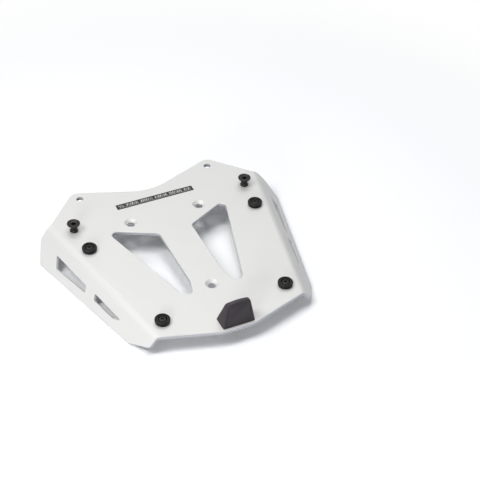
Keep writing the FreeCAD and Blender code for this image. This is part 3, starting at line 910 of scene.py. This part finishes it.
@dataclass
class RubberBuffers(Fitting):
    """The four rubber buffers with the socket screws, washers and nuts that clamp them."""

    radius: float = 9.2
    height: float = 5.5
    foot_height: float = 1.4
    foot_inset: float = 0.5
    rim_width: float = 1.9
    rim_chamfer: float = 0.8
    groove_width: float = 0.9
    groove_depth: float = 0.9
    ring_width: float = 1.1
    ring_drop: float = 0.3
    seat_thickness: float = 2.6
    bore_radius: float = 2.75
    pad_rounding: float = 0.22
    head_radius: float = 4.5
    head_height: float = 2.5
    head_chamfer: float = 0.625
    socket_flats: float = 4.0
    socket_depth: float = 1.9
    screw_rounding: float = 0.17
    thread: Thread = Thread(radius=2.5, core=2.1, pitch=0.8, end=-12.6, end_chamfer=0.6, lead=0.6)
    washer: FlatWasher = FlatWasher(radius=5.0, bore=2.7, thickness=1.0)
    nut: LockNut = LockNut(flats=8.0, height=5.0)

    def pad(self) -> bpy.types.Object:
        """Model the rubber pad with its foot, rim, groove and ring.

        Returns:
            The pad.
        """
        foot = self.radius - self.foot_inset
        groove_outer = self.radius - self.rim_width
        groove_inner = groove_outer - self.groove_width
        recess = groove_inner - self.ring_width
        piece = self.workshop.turned("pad_pattern", [
            (self.bore_radius, 0),
            (foot, 0),
            (foot, self.foot_height),
            (self.radius, self.foot_height + self.foot_inset),
            (self.radius, self.height - self.rim_chamfer),
            (self.radius - self.rim_chamfer, self.height),
            (groove_outer, self.height),
            (groove_outer, self.height - self.groove_depth),
            (groove_inner, self.height - self.groove_depth),
            (groove_inner, self.height - self.ring_drop),
            (recess, self.height - self.ring_drop),
            (recess, self.seat_thickness),
            (self.bore_radius, self.seat_thickness),
        ], bored=True)
        self.workshop.round_edges(piece, self.pad_rounding)
        return piece

    def screw(self) -> bpy.types.Object:
        """Model the low socket screw with its thread's end below the nut.

        Returns:
            The screw.
        """
        top = self.seat_thickness + self.head_height
        shank_end = -self.sheet - self.washer.thickness
        piece = self.workshop.turned("screw_pattern", self.thread.rings(shank_end) + [
            (self.thread.radius, shank_end),
            (self.thread.radius, self.seat_thickness),
            (self.head_radius, self.seat_thickness),
            (self.head_radius, top - self.head_chamfer),
            (self.head_radius - self.head_chamfer, top),
        ])
        socket = self.workshop.hexagon("socket", self.socket_flats, top - self.socket_depth,
                                       top + CUT_OVERRUN)
        self.workshop.combine(piece, socket, "DIFFERENCE")
        self.workshop.round_edges(piece, self.screw_rounding)
        self.workshop.wind(piece, self.thread)
        return piece

    def build(self) -> None:
        """Model each piece once and put it in its four places."""
        self.stand_in(self.pad(), "buffer", "rubber_pad", CORNERS, Slot.BLACK_RUBBER)
        self.stand_in(self.screw(), "buffer_screw", "pad_screw", CORNERS, Slot.BLACK_STEEL)
        disc = self.washer.model(self.workshop, -self.sheet)
        self.stand_in(disc, "buffer_washer", "pad_disc", CORNERS, Slot.ZINC_STEEL)
        nut = self.nut.model(self.workshop, self.thread.radius, -self.sheet - self.washer.thickness)
        self.stand_in(nut, "buffer_nut", "pad_lock_nut", CORNERS, Slot.ZINC_STEEL)


@dataclass
class LatchBlock(Fitting):
    """The moulded wedge that the case's lock grips, with its two screws from below."""

    frame_width: float = 0.7
    groove_width: float = 1.3
    groove_depth: float = 0.8
    rearward_normal: float = -0.5
    screw_radius: float = 3.0
    screw_grip: float = 12.0
    end_chamfer: float = 0.5
    head_radius: float = 5.25
    head_height: float = 3.3
    head_chamfer: float = 0.825
    socket_flats: float = 4.0
    socket_depth: float = 2.2
    screw_rounding: float = 0.2
    washer: FlatWasher = FlatWasher(radius=6.0, bore=3.2, thickness=1.6)

    def wedge(self, node: str) -> bpy.types.Object:
        """Copy the wedge's solid and cut a shallow groove round its rear face.

        Args:
            node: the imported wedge's node, which is left as it is.

        Returns:
            The grooved copy in its place.
        """
        piece = self.workshop.copy_at(bpy.data.objects[node], "latch_wedge", Vector())
        self.workshop.take(piece)
        bpy.ops.object.mode_set(mode="EDIT")
        bpy.ops.mesh.select_all(action="SELECT")
        bpy.ops.mesh.remove_doubles(threshold=MERGE_DISTANCE_M)
        bpy.ops.mesh.dissolve_limited(angle_limit=FLAT_ANGLE)
        bpy.ops.mesh.select_mode(type="FACE")
        bpy.ops.mesh.select_all(action="DESELECT")
        bpy.ops.object.mode_set(mode="OBJECT")
        rearward = [face for face in piece.data.polygons if face.normal.y < self.rearward_normal]
        max(rearward, key=lambda face: face.area).select = True
        bpy.ops.object.mode_set(mode="EDIT")
        bpy.ops.mesh.inset(thickness=self.frame_width * MM)
        for depth in (-self.groove_depth, self.groove_depth):
            bpy.ops.mesh.inset(thickness=self.groove_width / 2 * MM, depth=depth * MM)
        bpy.ops.object.mode_set(mode="OBJECT")
        bpy.ops.object.shade_smooth_by_angle(angle=SMOOTH_ANGLE)
        return piece

    def screw(self) -> bpy.types.Object:
        """Model the screw with its head below the deck.

        Returns:
            The screw.
        """
        seat = -self.sheet - self.washer.thickness
        low = seat - self.head_height
        piece = self.workshop.turned("block_screw_pattern", [
            (self.head_radius - self.head_chamfer, low),
            (self.head_radius, low + self.head_chamfer),
            (self.head_radius, seat),
            (self.screw_radius, seat),
            (self.screw_radius, self.screw_grip - self.end_chamfer),
            (self.screw_radius - self.end_chamfer, self.screw_grip),
        ])
        socket = self.workshop.hexagon("socket", self.socket_flats, low - CUT_OVERRUN,
                                       low + self.socket_depth)
        self.workshop.combine(piece, socket, "DIFFERENCE")
        self.workshop.round_edges(piece, self.screw_rounding)
        return piece

    def build(self) -> None:
        """Finish the wedge, and put its screws and washers in their places."""
        self.install(self.wedge("latch_block"), "latch_block", Slot.BLACK_PLASTIC)
        self.stand_in(self.screw(), "latch_block_screw", "block_screw", SIDES, Slot.BLACK_STEEL)
        disc = self.washer.model(self.workshop, -self.sheet)
        self.stand_in(disc, "latch_block_washer", "block_disc", SIDES, Slot.ZINC_STEEL)


@dataclass(frozen=True)
class SoftLamp:
    """A round soft lamp that shines at the point that the camera looks at.

    Its angles are degrees, its diameter and distance are metres, and its power is watts.
    """

    name: str
    azimuth: float
    elevation: float
    diameter: float
    power: float
    distance: float = 1.6

    def hang(self, target: Vector) -> None:
        """Hang the lamp up.

        Args:
            target: the point that it shines at, in metres.
        """
        azimuth = math.radians(self.azimuth)
        elevation = math.radians(self.elevation)
        direction = Vector((math.cos(azimuth) * math.cos(elevation),
                            math.sin(azimuth) * math.cos(elevation),
                            math.sin(elevation)))
        bpy.ops.object.light_add(type="AREA", location=target + direction * self.distance,
                                 rotation=direction.to_track_quat("Z", "Y").to_euler())
        lamp = bpy.context.object
        lamp.name = self.name
        lamp.visible_camera = False
        lamp.data.shape = "DISK"
        lamp.data.size = self.diameter
        lamp.data.energy = self.power


# One lamp stands on the left, one hangs over the carrier, two are past its front edge and a low one fills
# in from the left of the latch block. Azimuths turn from the rider's right towards the front.
LAMPS = (
    SoftLamp("left_lamp", azimuth=182.0, elevation=54.0, diameter=0.7, power=10.0),
    SoftLamp("overhead_lamp", azimuth=200.0, elevation=88.0, diameter=0.6, power=6.7),
    SoftLamp("front_lamp", azimuth=90.0, elevation=55.0, diameter=0.6, power=2.9),
    SoftLamp("far_lamp", azimuth=45.0, elevation=55.0, diameter=0.6, power=2.6),
    SoftLamp("low_lamp", azimuth=225.0, elevation=14.0, diameter=0.5, power=10.4),
)


@dataclass
class Studio:
    """The pale floor, the soft light and the camera. Angles are degrees."""

    focal_length: float = 97.5
    sensor_width: float = 36.0
    target: Vector = Vector((64.2, -84.7, 5.0))
    distance: float = 1600.0
    azimuth: float = -26.56
    elevation: float = 40.48
    roll: float = 2.0
    clip_near_m: float = 0.01
    clip_far_m: float = 50.0
    floor_size_m: float = 12.0
    floor_fall: float = 0.05675
    floor_contact_y: float = 6.43
    floor_contact_z: float = -31.61
    floor_gain: float = 1.17
    shadow_reach_m: float = 0.3
    white_reach_m: float = 0.75
    bounce_colour: str = "DFE1E8"
    ambient: float = 0.17
    ambient_colour: str = "E6F0FF"

    def camera(self) -> None:
        """Set up the camera at the photograph's viewing angle."""
        azimuth = math.radians(self.azimuth)
        elevation = math.radians(self.elevation)
        roll = math.radians(self.roll)
        back = Vector((math.sin(azimuth) * math.cos(elevation), -math.cos(azimuth) * math.cos(elevation),
                       math.sin(elevation)))
        level_right = (-back).cross(Vector((0, 0, 1))).normalized()
        level_up = level_right.cross(-back)
        right = level_right * math.cos(roll) + level_up * math.sin(roll)
        up = level_up * math.cos(roll) - level_right * math.sin(roll)
        bpy.ops.object.camera_add()
        camera = bpy.context.object
        camera.name = "camera"
        turn = Matrix((right, up, back)).transposed().to_4x4()
        place = (self.target + back * self.distance) * MM
        camera.matrix_world = Matrix.Translation(place) @ turn
        camera.data.lens = self.focal_length
        camera.data.sensor_width = self.sensor_width
        camera.data.clip_start = self.clip_near_m
        camera.data.clip_end = self.clip_far_m
        bpy.context.scene.camera = camera

    def seen(self, tree: bpy.types.NodeTree) -> bpy.types.NodeSocket:
        """Tell the rays that show the surroundings, straight or in gloss or glass, from those that light.

        Args:
            tree: the node tree of a material or of the world.

        Returns:
            1 for the rays that show the surroundings and 0 for the rest.
        """
        path = add_node(tree, "ShaderNodeLightPath")
        direct = add_node(tree, "ShaderNodeMath", {"operation": "MAXIMUM"},
                          {0: path.outputs["Is Camera Ray"], 1: path.outputs["Is Glossy Ray"]})
        either = add_node(tree, "ShaderNodeMath", {"operation": "MAXIMUM"},
                          {0: direct.outputs[0], 1: path.outputs["Is Transmission Ray"]})
        return either.outputs[0]

    def paper(self) -> bpy.types.Material:
        """Build the floor's white paper.

        It is seen from above only. Near the carrier it keeps the shadows, and further out it is plain
        white.

        Returns:
            The material.
        """
        material = bpy.data.materials.new("white_paper_sweep")
        material.use_nodes = True
        tree = material.node_tree
        tree.nodes.clear()
        seen_white = (self.floor_gain, self.floor_gain, self.floor_gain, 1.0)
        colour = add_node(tree, "ShaderNodeMix",
                          {"data_type": "RGBA", Mixing.FIRST_COLOUR: linear(self.bounce_colour),
                           Mixing.SECOND_COLOUR: seen_white},
                          {Mixing.FACTOR: self.seen(tree)})
        shaded = add_node(tree, "ShaderNodeBsdfDiffuse",
                          links={"Color": colour.outputs[Mixing.MIXED_COLOUR]})
        coordinates = add_node(tree, "ShaderNodeTexCoord")
        reach = add_node(tree, "ShaderNodeVectorMath", {"operation": "LENGTH"},
                         {0: coordinates.outputs["Object"]})
        far = add_node(tree, "ShaderNodeMapRange",
                       {"interpolation_type": "SMOOTHSTEP", "From Min": self.shadow_reach_m,
                        "From Max": self.white_reach_m},
                       {"Value": reach.outputs["Value"]})
        plain = add_node(tree, "ShaderNodeMath", {"operation": "MULTIPLY"},
                         {0: far.outputs["Result"], 1: self.seen(tree)})
        white = add_node(tree, "ShaderNodeEmission", {"Color": WHITE, "Strength": 1.0})
        ground = add_node(tree, "ShaderNodeMixShader",
                          links={Mixing.FACTOR: plain.outputs[0],
                                 Mixing.FIRST_SHADER: shaded.outputs["BSDF"],
                                 Mixing.SECOND_SHADER: white.outputs["Emission"]})
        clear = add_node(tree, "ShaderNodeBsdfTransparent")
        side = add_node(tree, "ShaderNodeNewGeometry")
        both = add_node(tree, "ShaderNodeMixShader",
                        links={Mixing.FACTOR: side.outputs["Backfacing"],
                               Mixing.FIRST_SHADER: ground.outputs["Shader"],
                               Mixing.SECOND_SHADER: clear.outputs["BSDF"]})
        add_node(tree, "ShaderNodeOutputMaterial", links={"Surface": both.outputs["Shader"]})
        return material

    def floor(self) -> None:
        """Lay the floor under the flanks' lower edges, with their slight fall to one end."""
        bpy.ops.mesh.primitive_plane_add(size=self.floor_size_m,
                                         rotation=(-math.atan(self.floor_fall), 0, 0),
                                         location=(0, self.floor_contact_y * MM, self.floor_contact_z * MM))
        plane = bpy.context.object
        plane.name = "floor"
        plane.data.materials.append(self.paper())

    def light(self) -> None:
        """Light the carrier with the soft lamps and an even surround, which shows as plain white."""
        for lamp in LAMPS:
            lamp.hang(self.target * MM)
        world = bpy.data.worlds.new("surround")
        world.use_nodes = True
        bpy.context.scene.world = world
        tree = world.node_tree
        tree.nodes.clear()
        dim = add_node(tree, "ShaderNodeBackground",
                       {"Color": linear(self.ambient_colour), "Strength": self.ambient})
        white = add_node(tree, "ShaderNodeBackground", {"Color": WHITE, "Strength": 1.0})
        surround = add_node(tree, "ShaderNodeMixShader",
                            links={Mixing.FACTOR: self.seen(tree),
                                   Mixing.FIRST_SHADER: dim.outputs["Background"],
                                   Mixing.SECOND_SHADER: white.outputs["Background"]})
        add_node(tree, "ShaderNodeOutputWorld", links={"Surface": surround.outputs["Shader"]})
        bpy.context.scene.view_settings.view_transform = "Standard"


def main() -> None:
    """Load the frame, dress it and set the studio up."""
    logging.basicConfig(level=logging.INFO, format="%(name)s: %(message)s")
    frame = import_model()
    nodes = frame["nodes"]
    workshop = Workshop()
    wardrobe = Wardrobe()
    deck_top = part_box("label_strip")[0].z
    kept = {"rack_plate": Slot.SILVER_PLATE, "label_strip": Slot.BLACK_LABEL}
    for node, slot in kept.items():
        wardrobe.dress(nodes[node], slot)
        LOG.info("%s keeps its shape in %s", node, FINISHES[slot].name)
    for kind in (CaseStuds, RubberBuffers, LatchBlock):
        kind(workshop, wardrobe, deck_top).build()
        LOG.info("%s are in place", kind.__name__)
    studio = Studio()
    studio.camera()
    studio.floor()
    studio.light()


if __name__ == "__main__":
    main()
